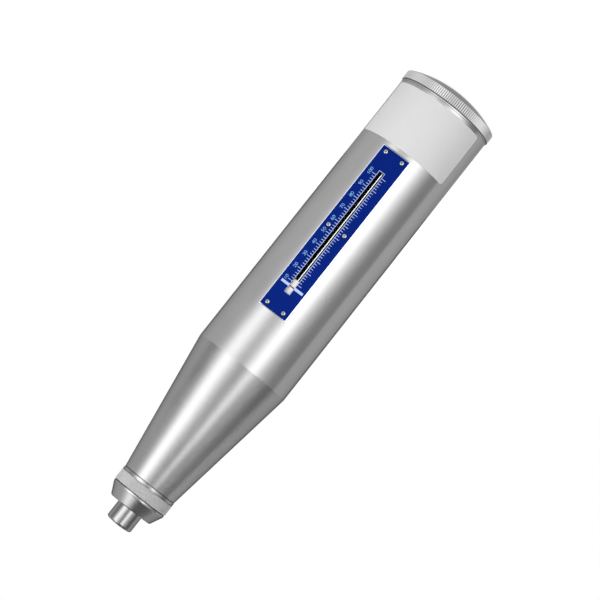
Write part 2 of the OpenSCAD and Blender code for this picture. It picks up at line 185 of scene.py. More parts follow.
def add(tree, kind, inputs=None, **settings):
    """Adds a node, makes its settings, and fills its inputs with values or with links from other nodes."""
    made = tree.nodes.new(kind)
    for name, value in settings.items():
        setattr(made, name, value)
    for key, value in (inputs or {}).items():
        if isinstance(value, bpy.types.NodeSocket):
            tree.links.new(value, made.inputs[key])
        else:
            made.inputs[key].default_value = value
    return made


def start_material(name):
    """A new material with an empty node tree."""
    material = bpy.data.materials.new(name)
    material.use_nodes = True
    material.node_tree.nodes.clear()
    return material, material.node_tree


def end_material(tree, shader):
    """Joins the last shader to the output."""
    add(tree, "ShaderNodeOutputMaterial", {"Surface": shader.outputs[0]})


def pattern(tree, sizes_mm, detail=3.0):
    """Noise in the object's own frame whose cells have the given size in millimetres along X, Y and Z."""
    place = add(tree, "ShaderNodeTexCoord").outputs["Object"]
    cells = [1 / (size * MM) for size in sizes_mm]
    scaled = add(tree, "ShaderNodeVectorMath", {0: place, 1: cells}, operation="MULTIPLY").outputs[0]
    noise = add(tree, "ShaderNodeTexNoise", {"Vector": scaled, "Scale": 1.0, "Detail": detail})
    return noise.outputs[0]


def spread(tree, value, low, high):
    """A pattern's middle range, stretched from low to high."""
    return add(tree, "ShaderNodeMapRange",
               {"Value": value, "From Min": 0.3, "From Max": 0.7, "To Min": low, "To Max": high}).outputs[0]


def shaded(tree, base, amount, low, high):
    """A colour darkened or lightened between two factors by a pattern."""
    dark = [c * low for c in base[:3]] + [1.0]
    light = [c * high for c in base[:3]] + [1.0]
    return add(tree, "ShaderNodeMix", {"Factor": amount, 6: dark, 7: light}, data_type="RGBA").outputs[2]


def lathe_place(tree):
    """A point's distance from the hammer's axis and its height, in the object's own frame."""
    place = add(tree, "ShaderNodeTexCoord").outputs["Object"]
    flat = add(tree, "ShaderNodeVectorMath", {0: place, 1: (1, 1, 0)}, operation="MULTIPLY").outputs[0]
    radius = add(tree, "ShaderNodeVectorMath", {0: flat}, operation="LENGTH").outputs["Value"]
    return radius, add(tree, "ShaderNodeSeparateXYZ", {0: place}).outputs["Z"]


def turned_metal(name, base, roughness, lines_mm, groove_mm, edge="#BCBCBC", bore=None):
    """A metal turned on a lathe: fine rings round the axis, faint clouds in its gloss, and a dull edge.
    Inside a bore, given by its radius and its end's height in millimetres, it is painted near black as the
    shade of the hollow."""
    material, tree = start_material(name)
    rings = pattern(tree, (40 * lines_mm, 40 * lines_mm, lines_mm))
    clouds = spread(tree, pattern(tree, (9, 9, 14)), 0.0, 1.0)
    bump = add(tree, "ShaderNodeBump", {"Height": rings, "Distance": groove_mm * MM, "Strength": 1.0})
    tone = shaded(tree, base, clouds, 0.975, 1.025)
    # Painted shade: inside the bore the colour is near black
    if bore:
        radius, height = lathe_place(tree)
        narrow = add(tree, "ShaderNodeMath", {0: radius, 1: bore[0] * MM}, operation="LESS_THAN").outputs[0]
        low = add(tree, "ShaderNodeMath", {0: height, 1: bore[1] * MM}, operation="LESS_THAN").outputs[0]
        inside = add(tree, "ShaderNodeMath", {0: narrow, 1: low}, operation="MULTIPLY").outputs[0]
        tone = add(tree, "ShaderNodeMix", {
            "Factor": inside, 6: tone, 7: linear("#2C2C2B")}, data_type="RGBA").outputs[2]
    metal = add(tree, "ShaderNodeBsdfPrincipled", {
        "Base Color": tone,
        "Metallic": 1.0,
        "Roughness": add(tree, "ShaderNodeMapRange", {
            "Value": clouds, "To Min": roughness - 0.02, "To Max": roughness + 0.02}).outputs[0],
        "Specular Tint": linear(edge),
        "Normal": bump.outputs[0]})
    end_material(tree, metal)
    return material


def satin_turned_aluminium(finishes):
    """Aluminium alloy, turned and polished to a satin: long soft highlights, rings seen only close up."""
    # The real feed marks are 0.1 mm apart, too fine to show, so they are drawn at 0.5 mm
    return turned_metal("satin_turned_aluminium", finishes.body, 0.2, 0.5, 0.0008, bore=HOUSING_BORE)


def knurled_aluminium(finishes, name, tip, depth, band, shade_and_wear_factors, roughness):
    """Aluminium alloy, turned, then pressed with a knurling wheel: plain satin beside a pale, broken band.
    The shade and wear factors multiply its colour in the grooves, as painted shade, and on the tips, as wear
    and a painted highlight."""
    material, tree = start_material(name)
    radius, height = lathe_place(tree)
    past = add(tree, "ShaderNodeMath", {0: height, 1: band[0]}, operation="GREATER_THAN").outputs[0]
    before = add(tree, "ShaderNodeMath", {0: height, 1: band[1]}, operation="LESS_THAN").outputs[0]
    outside = add(tree, "ShaderNodeMath", {
        0: radius, 1: tip - 2 * depth}, operation="GREATER_THAN").outputs[0]
    within = add(tree, "ShaderNodeMath", {0: past, 1: before}, operation="MULTIPLY").outputs[0]
    pressed = add(tree, "ShaderNodeMath", {0: within, 1: outside}, operation="MULTIPLY").outputs[0]
    # Painted shade darkens the grooves, and the tips are paler, from wear and as a painted highlight
    wear_and_shade = add(tree, "ShaderNodeMapRange", {
        "Value": radius, "From Min": tip - depth, "From Max": tip}).outputs[0]
    pale = shaded(tree, finishes.knurl, wear_and_shade, *shade_and_wear_factors)
    tone = add(tree, "ShaderNodeMix", {"Factor": pressed, 6: finishes.caps, 7: pale}, data_type="RGBA")
    # Turning rings, 0.1 mm apart on the real cap and drawn at 0.35 mm
    rings = pattern(tree, (14, 14, 0.35))
    bump = add(tree, "ShaderNodeBump", {"Height": rings, "Distance": 0.001 * MM, "Strength": 1.0})
    metal = add(tree, "ShaderNodeBsdfPrincipled", {
        "Base Color": tone.outputs[2],
        "Metallic": 1.0,
        "Roughness": add(tree, "ShaderNodeMapRange", {
            "Value": pressed, "To Min": 0.2, "To Max": roughness}).outputs[0],
        "Specular Tint": linear("#B0B0B0"),
        "Normal": bump.outputs[0]})
    end_material(tree, metal)
    return material


def ground_steel(finishes):
    """Hardened steel, centreless ground: a bright, tight mirror with faint rings."""
    # Grinding marks are 0.05 mm apart, too fine to show, so they are drawn at 0.3 mm
    return turned_metal("ground_hardened_steel", finishes.steel, 0.05, 0.3, 0.0003, "#A8A8A8")


def polished_rod_steel(finishes):
    """Silver steel, drawn and rubbed bright: a pale soft shine."""
    return turned_metal("bright_drawn_silver_steel", finishes.rod, 0.26, 0.3, 0.0003, "#E0E0E0")


def turned_steel(finishes):
    """Carbon steel, turned, blackened and oiled: near black with clear tool rings."""
    return turned_metal("blackened_turned_steel", finishes.inner, 0.36, 0.4, 0.002)


def spring_wire():
    """Oil-tempered spring wire, drawn through a die: dark grey with a dull oily gloss."""
    return turned_metal("oil_tempered_spring_wire", linear("#5E6063"), 0.3, 1.2, 0.001)


def reamed_brass():
    """Brass, turned and reamed: warm yellow with soft rings."""
    return turned_metal("reamed_brass", linear("#C79F4B"), 0.25, 0.4, 0.0015, "#D8C9A0")


def turned_disk_alloy():
    """Aluminium alloy as it comes off the lathe: paler and duller than the polished housing."""
    return turned_metal("as_turned_aluminium", linear("#A5A7A9"), 0.35, 0.45, 0.002)


def nickel_plate():
    """Nickel plated brass: bright, neutral and almost a mirror."""
    return turned_metal("nickel_plated_brass", linear("#AEB0B4"), 0.14, 0.3, 0.0004, "#B8B8B8")


def dyed_plate(finishes):
    """Aluminium sheet, anodised and dyed blue, then cut: deep even blue with bare bright cut edges."""
    material, tree = start_material("blue_anodised_aluminium")
    where = add(tree, "ShaderNodeTexCoord")
    facing = add(tree, "ShaderNodeSeparateXYZ", {0: where.outputs["Normal"]}).outputs["Y"]
    front = add(tree, "ShaderNodeMath", {0: facing, 1: -0.98}, operation="LESS_THAN").outputs[0]
    # The slot and the screw holes were cut before the dye, the outer edges after it
    across, _, along = add(tree, "ShaderNodeSeparateXYZ", {0: where.outputs["Object"]}).outputs
    aside = add(tree, "ShaderNodeMath", {0: across}, operation="ABSOLUTE").outputs[0]
    rim = 2 * PLATE_BEVEL
    middle = (PLATE_LOW.z + PLATE_HIGH.z) / 2
    half = (PLATE_HIGH.z - PLATE_LOW.z) / 2
    inner = add(tree, "ShaderNodeMath", {0: aside, 1: PLATE_HIGH.x - rim}, operation="LESS_THAN").outputs[0]
    shifted = add(tree, "ShaderNodeMath", {0: along, 1: middle}, operation="SUBTRACT").outputs[0]
    away = add(tree, "ShaderNodeMath", {0: shifted}, operation="ABSOLUTE").outputs[0]
    between = add(tree, "ShaderNodeMath", {0: away, 1: half - rim}, operation="LESS_THAN").outputs[0]
    enclosed = add(tree, "ShaderNodeMath", {0: inner, 1: between}, operation="MULTIPLY").outputs[0]
    face = add(tree, "ShaderNodeMath", {0: front, 1: enclosed}, operation="MAXIMUM").outputs[0]
    # Rolling grain along the sheet, 0.05 mm wide on the real plate and drawn at 0.3 mm
    grain = spread(tree, pattern(tree, (0.3, 0.3, 9)), 0.0, 1.0)
    blue = shaded(tree, finishes.plate, grain, 0.93, 1.07)
    tone = add(tree, "ShaderNodeMix", {"Factor": face, 6: linear("#DEE3F2"), 7: blue}, data_type="RGBA")
    bump = add(tree, "ShaderNodeBump", {"Height": grain, "Distance": 0.001 * MM, "Strength": 1.0})
    metal = add(tree, "ShaderNodeBsdfPrincipled", {
        "Base Color": tone.outputs[2],
        "Metallic": add(tree, "ShaderNodeMath", {0: 1.0, 1: face}, operation="SUBTRACT").outputs[0],
        "Roughness": add(tree, "ShaderNodeMapRange", {
            "Value": grain, "To Min": 0.4, "To Max": 0.46}).outputs[0],
        "Specular IOR Level": 0.02,
        "Normal": bump.outputs[0]})
    end_material(tree, metal)
    return material


def plain_surface(name, base, roughness, grain_mm, relief_mm, contrast, gloss=0.5, sheen=0.0):
    """A plastic, ink, vinyl or felt surface with a fine grain in its colour, gloss and relief."""
    material, tree = start_material(name)
    grain = spread(tree, pattern(tree, (grain_mm,) * 3, 4.0), 0.0, 1.0)
    bump = add(tree, "ShaderNodeBump", {"Height": grain, "Distance": relief_mm * MM, "Strength": 1.0})
    surface = add(tree, "ShaderNodeBsdfPrincipled", {
        "Base Color": shaded(tree, base, grain, 1 - contrast, 1 + contrast),
        "Roughness": add(tree, "ShaderNodeMapRange", {
            "Value": grain, "To Min": roughness - 0.05, "To Max": roughness + 0.05}).outputs[0],
        "Specular IOR Level": gloss,
        "Sheen Weight": sheen,
        "Normal": bump.outputs[0]})
    end_material(tree, surface)
    return material


def screen_ink(name, base):
    """Screen ink, printed and cured: a flat colour with a faint weave of the screen, drawn at 0.25 mm."""
    return plain_surface(name, base, 0.6, 0.25, 0.003, 0.03, 0.3)


def ivory_acetal(finishes):
    """Acetal, moulded: warm ivory with a waxy, slightly cloudy gloss."""
    return plain_surface("ivory_moulded_acetal", finishes.rider, 0.42, 0.6, 0.002, 0.03)


def red_fill(finishes):
    """Red paint wiped into a groove: even red with a dry surface."""
    return plain_surface("red_groove_paint", finishes.mark, 0.6, 0.3, 0.002, 0.05, 0.3)


def label_vinyl(finishes):
    """Calendered vinyl, glued on: pale grey, matt, with a faint orange peel 1 mm across."""
    return plain_surface("matt_grey_vinyl", finishes.label, 0.55, 1.0, 0.004, 0.015, 0.35)


def pressed_felt():
    """Wool felt, pressed and cut: cream fibres about 0.4 mm apart with a soft sheen."""
    return plain_surface("pressed_wool_felt", linear("#D2C9B2"), 0.95, 0.4, 0.08, 0.12, 0.1, 0.4)


def black_abs():
    """ABS, moulded with a spark-eroded grain 0.3 mm across: black with a soft grey gloss."""
    return plain_surface("black_moulded_abs", linear("#1B1C1E"), 0.45, 0.3, 0.006, 0.12)


def clear_acrylic():
    """Cast acrylic, polished: almost unseen, with a thin gloss and faint wiping marks."""
    material, tree = start_material("clear_cast_acrylic")
    # Wiping marks run along the slot, 0.05 mm wide on the real window and drawn at 0.2 mm
    marks = spread(tree, pattern(tree, (0.2, 0.2, 12)), 0.0, 1.0)
    pane = add(tree, "ShaderNodeBsdfPrincipled", {
        "Base Color": shaded(tree, linear("#15191B"), marks, 0.9, 1.1),
        "Roughness": add(tree, "ShaderNodeMapRange", {
            "Value": marks, "To Min": 0.03, "To Max": 0.08}).outputs[0],
        "IOR": 1.49,
        "Alpha": 0.02})
    end_material(tree, pane)
    return material


def mesh_piece(name, points, faces, material, body, sharp_degrees=30):
    """A new piece from points and faces, shaded smooth up to an angle, that rides on a body."""
    mesh = bpy.data.meshes.new(name)
    mesh.from_pydata(points, [], faces)
    mesh.update()
    mesh.shade_smooth()
    mesh.set_sharp_from_angle(angle=math.radians(sharp_degrees))
    mesh.materials.append(material)
    made = bpy.data.objects.new(name, mesh)
    bpy.context.scene.collection.objects.link(made)
    if body:
        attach(made, body)
    return made


def dress(material, *names):
    """Gives a finish to frame nodes."""
    for name in names:
        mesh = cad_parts[name].data
        mesh.materials.clear()
        mesh.materials.append(material)


def round_edges(node, millimetres):
    """Rounds a frame node's sharp edges with a modifier, which leaves its mesh as it is."""
    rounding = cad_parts[node].modifiers.new("rounded_edges", "BEVEL")
    rounding.width = millimetres * MM
    rounding.segments = 2
    rounding.limit_method = "ANGLE"


def arc(centre_height, radius, first, last, steps):
    """Points of an arc in the half plane of a lathe profile, with angles in radians."""
    turns = [first + (last - first) * i / steps for i in range(steps + 1)]
    return [(radius * math.cos(a), centre_height + radius * math.sin(a)) for a in turns]


def knurl_rows(tip, depth, low, high, pitch):
    """Rings of a diamond knurl: tips and grooves change places from row to row."""
    rows = max(2, round((high - low) / (pitch / 2)))
    ends = [tip, tip - depth]
    return [(ends[i % 2], ends[(i + 1) % 2], low + (high - low) * i / rows) for i in range(rows + 1)]


def ridge_rows(tip, depth, low, high):
    """The two rings of a straight knurl, whose ridges run along the axis."""
    return [(tip, tip - depth, low), (tip, tip - depth, high)]


def lathe(name, rings, columns, material, body):
    """A closed turned piece. Each ring gives the radius at even and odd columns, and its height."""
    points = []
    for even, odd, height in rings:
        for i in range(columns):
            turn = 2 * math.pi * i / columns
            radius = odd if i % 2 else even
            points.append((radius * math.cos(turn), radius * math.sin(turn), height))
    faces = []
    for k, ring in enumerate(rings):
        above = (k + 1) % len(rings)
        upper = rings[above]
        for i in range(columns):
            j = (i + 1) % columns
            a, b = k * columns + i, k * columns + j
            c, d = above * columns + j, above * columns + i
            same = ring[:2] == upper[:2]
            plain = ring[0] == ring[1] and upper[0] == upper[1]
            near = ring[i % 2] + upper[j % 2]
            across = ring[j % 2] + upper[i % 2]
            if same or plain:
                faces.append((a, b, c, d))
            elif near < across:
                faces += [(a, b, c), (a, c, d)]
            else:
                faces += [(a, b, d), (b, c, d)]
    return mesh_piece(name, points, faces, material, body)


def plain_rings(profile):
    """Rings of a lathe profile in millimetres, with no knurl."""
    return [(r * MM, r * MM, z * MM) for r, z in profile]


def wound_spring(name, node, axis_point, axis, radius, wire, turns, material, body):
    """A spring wound from round wire, in the place and of the length of its frame node."""
    low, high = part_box(node)
    along = Vector(axis)
    size = abs((high - low).dot(along))
    start = Vector(axis_point)
    side = along.orthogonal().normalized()
    other = along.cross(side)
    steps, sides = turns * 28, 10
    points, faces = [], []
    for i in range(steps + 1):
        turn = 2 * math.pi * turns * i / steps
        out = side * math.cos(turn) + other * math.sin(turn)
        middle = start + along * (wire + (size - 2 * wire) * i / steps)
        for j in range(sides):
            spin = 2 * math.pi * j / sides
            points.append(middle + out * (radius + wire * math.cos(spin)) + along * (wire * math.sin(spin)))
    for i in range(steps):
        for j in range(sides):
            k = (j + 1) % sides
            faces.append((i * sides + j, (i + 1) * sides + j, (i + 1) * sides + k, i * sides + k))
    faces.append(tuple(range(sides)))
    faces.append(tuple(steps * sides + j for j in reversed(range(sides))))
    made = mesh_piece(name, points, faces, material, body, 60)
    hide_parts(node)
    return made


def slab(points, faces, x_ends, z_ends, low, high):
    """Adds a thin block of ink that faces -Y to lists of points and faces."""
    first = len(points)
    for y in (low, high):
        points += [(x, y, z) for x, z in ((x_ends[0], z_ends[0]), (x_ends[1], z_ends[0]),
                                          (x_ends[1], z_ends[1]), (x_ends[0], z_ends[1]))]
    sides = [(i, i + 4, (i + 1) % 4 + 4, (i + 1) % 4) for i in range(4)]
    for face in [(0, 1, 2, 3), (7, 6, 5, 4)] + sides:
        faces.append(tuple(first + i for i in face))


class HAMMER_OT_housing(bpy.types.Operator):
    """Gives the housing its satin turned finish"""

    bl_idname = "hammer.housing"
    bl_label = "Housing"

    def execute(self, context):
        dress(satin_turned_aluminium(context.scene.hammer_finishes), "housing")
        return {"FINISHED"}


class HAMMER_OT_caps(bpy.types.Operator):
    """Makes the rear cap with its straight knurl and the nose cap with its diamond knurl"""

    bl_idname = "hammer.caps"
    bl_label = "Knurled caps"

    def execute(self, context):
        self.rear_cap(context.scene.hammer_finishes, context.scene.hammer_knurls)
        self.nose_cap(context.scene.hammer_finishes, context.scene.hammer_knurls)
        return {"FINISHED"}

    def columns(self, radius, pitch):
        """Two columns for each ridge or diamond round the band."""
        return 2 * round(2 * math.pi * radius / pitch)

    def rear_cap(self, finishes, knurls):
        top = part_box("rear_cap")[1]
        tip = top.x
        outer = tip / MM
        # The solid's own radii and lengths, in millimetres
        dome, land, recess, recess_depth = 63, 12, 10, 3.8
        skirt, skirt_bore, skirt_length = 22.47, 19.6, 8
        boss, boss_end, screw_hole, floor_depth = 8, 2.9, 4.03, 1.5
        rim_radius = outer - 0.85
        base = math.sqrt(dome ** 2 - land ** 2)
        rim = base - math.sqrt(dome ** 2 - rim_radius ** 2)
        seam = top.z / MM - skirt_length
        rounded = arc(base, dome, -math.acos(land / dome), -math.acos(rim_radius / dome), 24)
        rings = plain_rings(
            [(recess, 0)] + rounded + [(outer - 0.58, rim + 0.14), (outer - 0.45, rim + 0.38)])
        band = ((rim + 0.5) * MM, (seam - 0.25) * MM)
        rings += ridge_rows(tip, knurls.groove, *band)
        rings += plain_rings([
            (outer - 0.45, seam - 0.15), (outer - 0.65, seam), (skirt, seam),
            (skirt, seam + skirt_length - 0.5), (skirt - 0.47, seam + skirt_length),
            (skirt_bore, seam + skirt_length), (skirt_bore, seam - floor_depth), (boss, seam - floor_depth),
            (boss, seam + boss_end), (screw_hole, seam + boss_end), (screw_hole, recess_depth),
            (recess, recess_depth)])
        # The band's grooves carry painted shade, and its tips carry wear and a painted highlight
        material = knurled_aluminium(
            finishes, "knurled_aluminium_rear", tip, knurls.groove, band, shade_and_wear_factors=(0.3, 1.02), roughness=0.4)
        cap = lathe("knurled_rear_cap", rings, self.columns(tip, knurls.ridge), material, "casing")
        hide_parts("rear_cap")

    def nose_cap(self, finishes, knurls):
        low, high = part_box("nose_cap")
        tip, seam, face = high.x, low.z / MM, high.z / MM
        outer = tip / MM
        # The solid's own radii, in millimetres: the front edge, then the bores for what each is named after
        front, collar, sleeve, felt, plunger = 12.5, 13.53, 12.28, 10.93, 7.43
        felt_start, felt_end, collar_end = face - 5.2, face - 2.6, seam + 9.02
        rings = plain_rings([
            (collar, seam), (outer - 0.45, seam), (outer - 0.12, seam + 0.22), (outer - 0.2, seam + 1.75),
            (outer - 0.35, seam + 1.85)])
        band = ((seam + 1.95) * MM, (face - 7.98) * MM)
        rings += knurl_rows(tip, knurls.cut, *band, knurls.diamond)
        rings += plain_rings([
            (outer - 0.3, face - 7.92), (outer - 0.6, face - 7.7), (outer - 0.22, face - 7.46),
            (outer - 0.3, face - 6.4), (outer - 0.45, face - 6.2), (outer - 0.5, face - 6.1),
            (front + 0.06, face - 0.45), (front, face - 0.35), (front - 0.4, face), (plunger, face),
            (plunger, felt_end), (felt, felt_end), (felt, felt_start), (sleeve, felt_start),
            (sleeve, collar_end), (collar, collar_end)])
        # The band's grooves carry painted shade, and its tips carry wear and a painted highlight
        material = knurled_aluminium(
            finishes, "knurled_aluminium_nose", tip, knurls.cut, band, shade_and_wear_factors=(0.55, 1.28), roughness=0.6)
        cap = lathe("knurled_nose_cap", rings, self.columns(tip, knurls.diamond), material, "casing")
        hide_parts("nose_cap")


class HAMMER_OT_scale_plate(bpy.types.Operator):
    """Gives the scale plate, its window and its screws their finishes, and the bush that of the screws"""

    bl_idname = "hammer.scale_plate"
    bl_label = "Scale plate"

    def execute(self, context):
        dress(dyed_plate(context.scene.hammer_finishes), "scale_plate")
        dress(nickel_plate(), "plate_screws", "button_bush")
        dress(clear_acrylic(), "window")
        return {"FINISHED"}


class HAMMER_OT_scale_print(bpy.types.Operator):
    """Prints the outline of the slot, the scale lines, the start bars and the numbers"""

    bl_idname = "hammer.scale_print"
    bl_label = "Scale print"

    def execute(self, context):
        sizes = context.scene.hammer_print
        finishes = context.scene.hammer_finishes
        # The ink reaches 0.01 mm into the plate
        self.high = PLATE_FACE + 0.01 * MM
        self.low = PLATE_FACE - sizes.ink
        self.lines(sizes, screen_ink("white_screen_ink", finishes.ink))
        self.numbers(sizes, screen_ink("pale_blue_screen_ink", finishes.number_ink))
        return {"FINISHED"}

    def lines(self, sizes, ink):
        points, faces = [], []
        outer = SLOT_HALF + sizes.outline
        # The outline keeps clear of the slot's cut edge
        gap = 0.02 * MM
        rear, front = SLOT_ENDS
        for side in (-1, 1):
            inside, outside = side * (SLOT_HALF + gap), side * outer
            self.block(points, faces, inside, outside, rear - sizes.outline, front + sizes.outline)
        for z0, z1 in ((rear - sizes.outline, rear - gap), (front + gap, front + sizes.outline)):
            self.block(points, faces, -SLOT_HALF - gap, SLOT_HALF + gap, z0, z1)
        # A line at every second division from ten to a hundred, and a long one at every full ten
        spaces, spaces_per_ten = 45, 5
        step = (sizes.last - sizes.first) / spaces
        for i in range(spaces + 1):
            z = sizes.first + step * i
            reach = sizes.short_line if i % spaces_per_ten else sizes.long_line
            low, high = z - sizes.line / 2, z + sizes.line / 2
            for side in (-1, 1):
                self.block(points, faces, side * outer, side * (outer + reach), low, high)
        # Bars beside the rider's start, which stop short of the plate's edge by these millimetres
        edge = PLATE_HIGH.x - PLATE_BEVEL
        for side, short in ((1, 1.5), (-1, 1.15)):
            self.block(points, faces, side * outer, side * (edge - short * MM),
                       START_MARK - sizes.start_bar / 2, START_MARK + sizes.start_bar / 2)
        print_piece = mesh_piece("scale_lines", points, faces, ink, "casing")

    def block(self, points, faces, x0, x1, z0, z1):
        slab(points, faces, sorted((x0, x1)), (z0, z1), self.high, self.low)

    def numbers(self, sizes, ink):
        points, faces = [], []
        tens = 10
        for i in range(tens):
            height = sizes.first + (sizes.last - sizes.first) * i / (tens - 1)
            # Read towards the rear cap, with the top of each number towards +X
            place = Matrix(((0, 1, 0, sizes.number_place), (0, 0, -1, self.high),
                            (-1, 0, 0, height), (0, 0, 0, 1)))
            mesh = self.number_mesh(str(10 * (i + 1)), sizes.number, self.high - self.low)
            first = len(points)
            points += [place @ v.co for v in mesh.vertices]
            faces += [tuple(first + k for k in face.vertices) for face in mesh.polygons]
            bpy.data.meshes.remove(mesh)
        number_piece = mesh_piece("scale_numbers", points, faces, ink, "casing")

    def number_mesh(self, text, height, thickness):
        """A number as a mesh, centred, that stands up from z = 0."""
        letters = bpy.data.curves.new("number", "FONT")
        letters.body = text
        # A figure is 0.7 of the type's size
        letters.size = height / 0.7
        letters.space_character = 0.94
        letters.align_x, letters.align_y = "CENTER", "CENTER"
        letters.extrude = thickness / 2
        # Thins the strokes
        letters.offset = -0.02 * MM
        letters.resolution_u = 4
        holder = bpy.data.objects.new("number", letters)
        bpy.context.scene.collection.objects.link(holder)
        graph = bpy.context.evaluated_depsgraph_get()
        mesh = bpy.data.meshes.new_from_object(holder.evaluated_get(graph))
        # The scale's figures are wide and round
        mesh.transform(Matrix.Translation((0, 0, thickness / 2)) @ Matrix.Diagonal((1.2, 1, 1, 1)))
        bpy.data.objects.remove(holder)
        bpy.data.curves.remove(letters)
        return mesh


class HAMMER_OT_rider(bpy.types.Operator):
    """Gives the rider, its mark and its rod their finishes, and rounds the rider's edges"""

    bl_idname = "hammer.rider"
    bl_label = "Rider"

    def execute(self, context):
        finishes = context.scene.hammer_finishes
        dress(ivory_acetal(finishes), "rider")
        dress(red_fill(finishes), "rider_line")
        dress(polished_rod_steel(finishes), "rider_rod")
        round_edges("rider", 0.15)
        return {"FINISHED"}


class HAMMER_OT_label(bpy.types.Operator):
    """Glues the blank label round the rear of the housing"""

    bl_idname = "hammer.label"
    bl_label = "Blank label"

    def execute(self, context):
        sizes = context.scene.hammer_label
        corner = sizes.corner
        corner_steps, columns = 6, 72
        # Thickness of the glue under the label
        glue = 0.01 * MM
        turns = [math.pi / 2 * i / corner_steps for i in range(corner_steps + 1)]
        rounded = [corner * (1 - math.cos(t)) for t in turns]
        rows = [(sizes.rear + d, d) for d in rounded] + [(sizes.front - d, d) for d in reversed(rounded)]
        points, faces = [], []
        for radius in (BODY_RADIUS + sizes.thickness, BODY_RADIUS + glue):
            for height, inset in rows:
                short = (corner - math.sqrt(max(0, corner ** 2 - (corner - inset) ** 2))) / BODY_RADIUS
                left, right = -sizes.left + short, sizes.right - short
                for i in range(columns + 1):
                    turn = left + (right - left) * i / columns
                    points.append((radius * math.sin(turn), -radius * math.cos(turn), height))
        wide, tall = columns + 1, len(rows)
        under = wide * tall
        for j in range(tall - 1):
            for i in range(columns):
                a = j * wide + i
                faces.append((a, a + 1, a + wide + 1, a + wide))
                faces.append((under + a, under + a + wide, under + a + wide + 1, under + a + 1))
        rim = list(range(wide)) + [j * wide + columns for j in range(1, tall)]
        rim += [(tall - 1) * wide + i for i in reversed(range(columns))]
        rim += [j * wide for j in reversed(range(1, tall - 1))]
        for a, b in zip(rim, rim[1:] + rim[:1]):
            faces.append((b, a, under + a, under + b))
        vinyl = label_vinyl(context.scene.hammer_finishes)
        label = mesh_piece("blank_label", points, faces, vinyl, "casing")
        return {"FINISHED"}


class HAMMER_OT_plunger(bpy.types.Operator):
    """Gives the plunger, the guide bar and the guide disk their finishes"""

    bl_idname = "hammer.plunger"
    bl_label = "Plunger and bar"

    def execute(self, context):
        finishes = context.scene.hammer_finishes
        dress(ground_steel(finishes), "plunger", "guide_bar")
        dress(turned_disk_alloy(), "guide_disk")
        return {"FINISHED"}


class HAMMER_OT_inner_works(bpy.types.Operator):
    """Gives the hammer mass, the pawl, the sleeve and the small pieces inside their finishes"""

    bl_idname = "hammer.inner_works"
    bl_label = "Inner works"

    def execute(self, context):
        steel = turned_steel(context.scene.hammer_finishes)
        dress(steel, "hammer_mass", "pawl", "pawl_pin", "bar_pin")
        dress(steel, "trip_screw", "trip_lock_nut", "split_ring")
        dress(reamed_brass(), "guide_sleeve")
        dress(pressed_felt(), "felt_washer")
        return {"FINISHED"}


class HAMMER_OT_springs(bpy.types.Operator):
    """Winds the five springs from round wire and finishes the rider's spring strip"""

    bl_idname = "hammer.springs"
    bl_label = "Springs"

    def execute(self, context):
        steel = spring_wire()
        dress(steel, "rider_leaf")
        up, out = (0, 0, 1), (0, 1, 0)
        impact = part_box("impact_spring")
        made = wound_spring("wound_impact_spring", "impact_spring", (0, 0, impact[0].z), up,
                            radius=10 * MM, wire=0.9 * MM, turns=24, material=steel, body="casing")
        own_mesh(made)
        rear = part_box("return_spring")
        made = wound_spring("wound_return_spring", "return_spring", (0, 0, rear[0].z), up,
                            radius=18.1 * MM, wire=0.7 * MM, turns=12, material=steel, body=None)
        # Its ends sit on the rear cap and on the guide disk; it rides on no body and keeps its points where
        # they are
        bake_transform(made)
        wound_spring("wound_buffer_spring", "buffer_spring", (0, 0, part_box("buffer_spring")[0].z), up,
                     radius=2.9 * MM, wire=0.5 * MM, turns=8, material=steel, body="plunger")
        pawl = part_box("pawl_spring")
        across = (pawl[0].y + pawl[1].y) / 2
        made = wound_spring("wound_pawl_spring", "pawl_spring", (0, across, pawl[0].z), up,
                            radius=1.5 * MM, wire=0.3 * MM, turns=6, material=steel, body=None)
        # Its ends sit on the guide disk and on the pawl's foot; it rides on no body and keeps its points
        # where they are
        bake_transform(made)
        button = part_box("button_spring")
        middle = (button[0].z + button[1].z) / 2
        made = wound_spring("wound_button_spring", "button_spring", (0, button[0].y, middle), out,
                            radius=3 * MM, wire=0.16 * MM, turns=3, material=steel, body="casing")
        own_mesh(made)
        return {"FINISHED"}


class HAMMER_OT_push_button(bpy.types.Operator):
    """Gives the push button its moulded finish and rounds its edges"""

    bl_idname = "hammer.push_button"
    bl_label = "Push button"

    def execute(self, context):
        dress(black_abs(), "push_button")
        round_edges("push_button", 0.12)
        return {"FINISHED"}


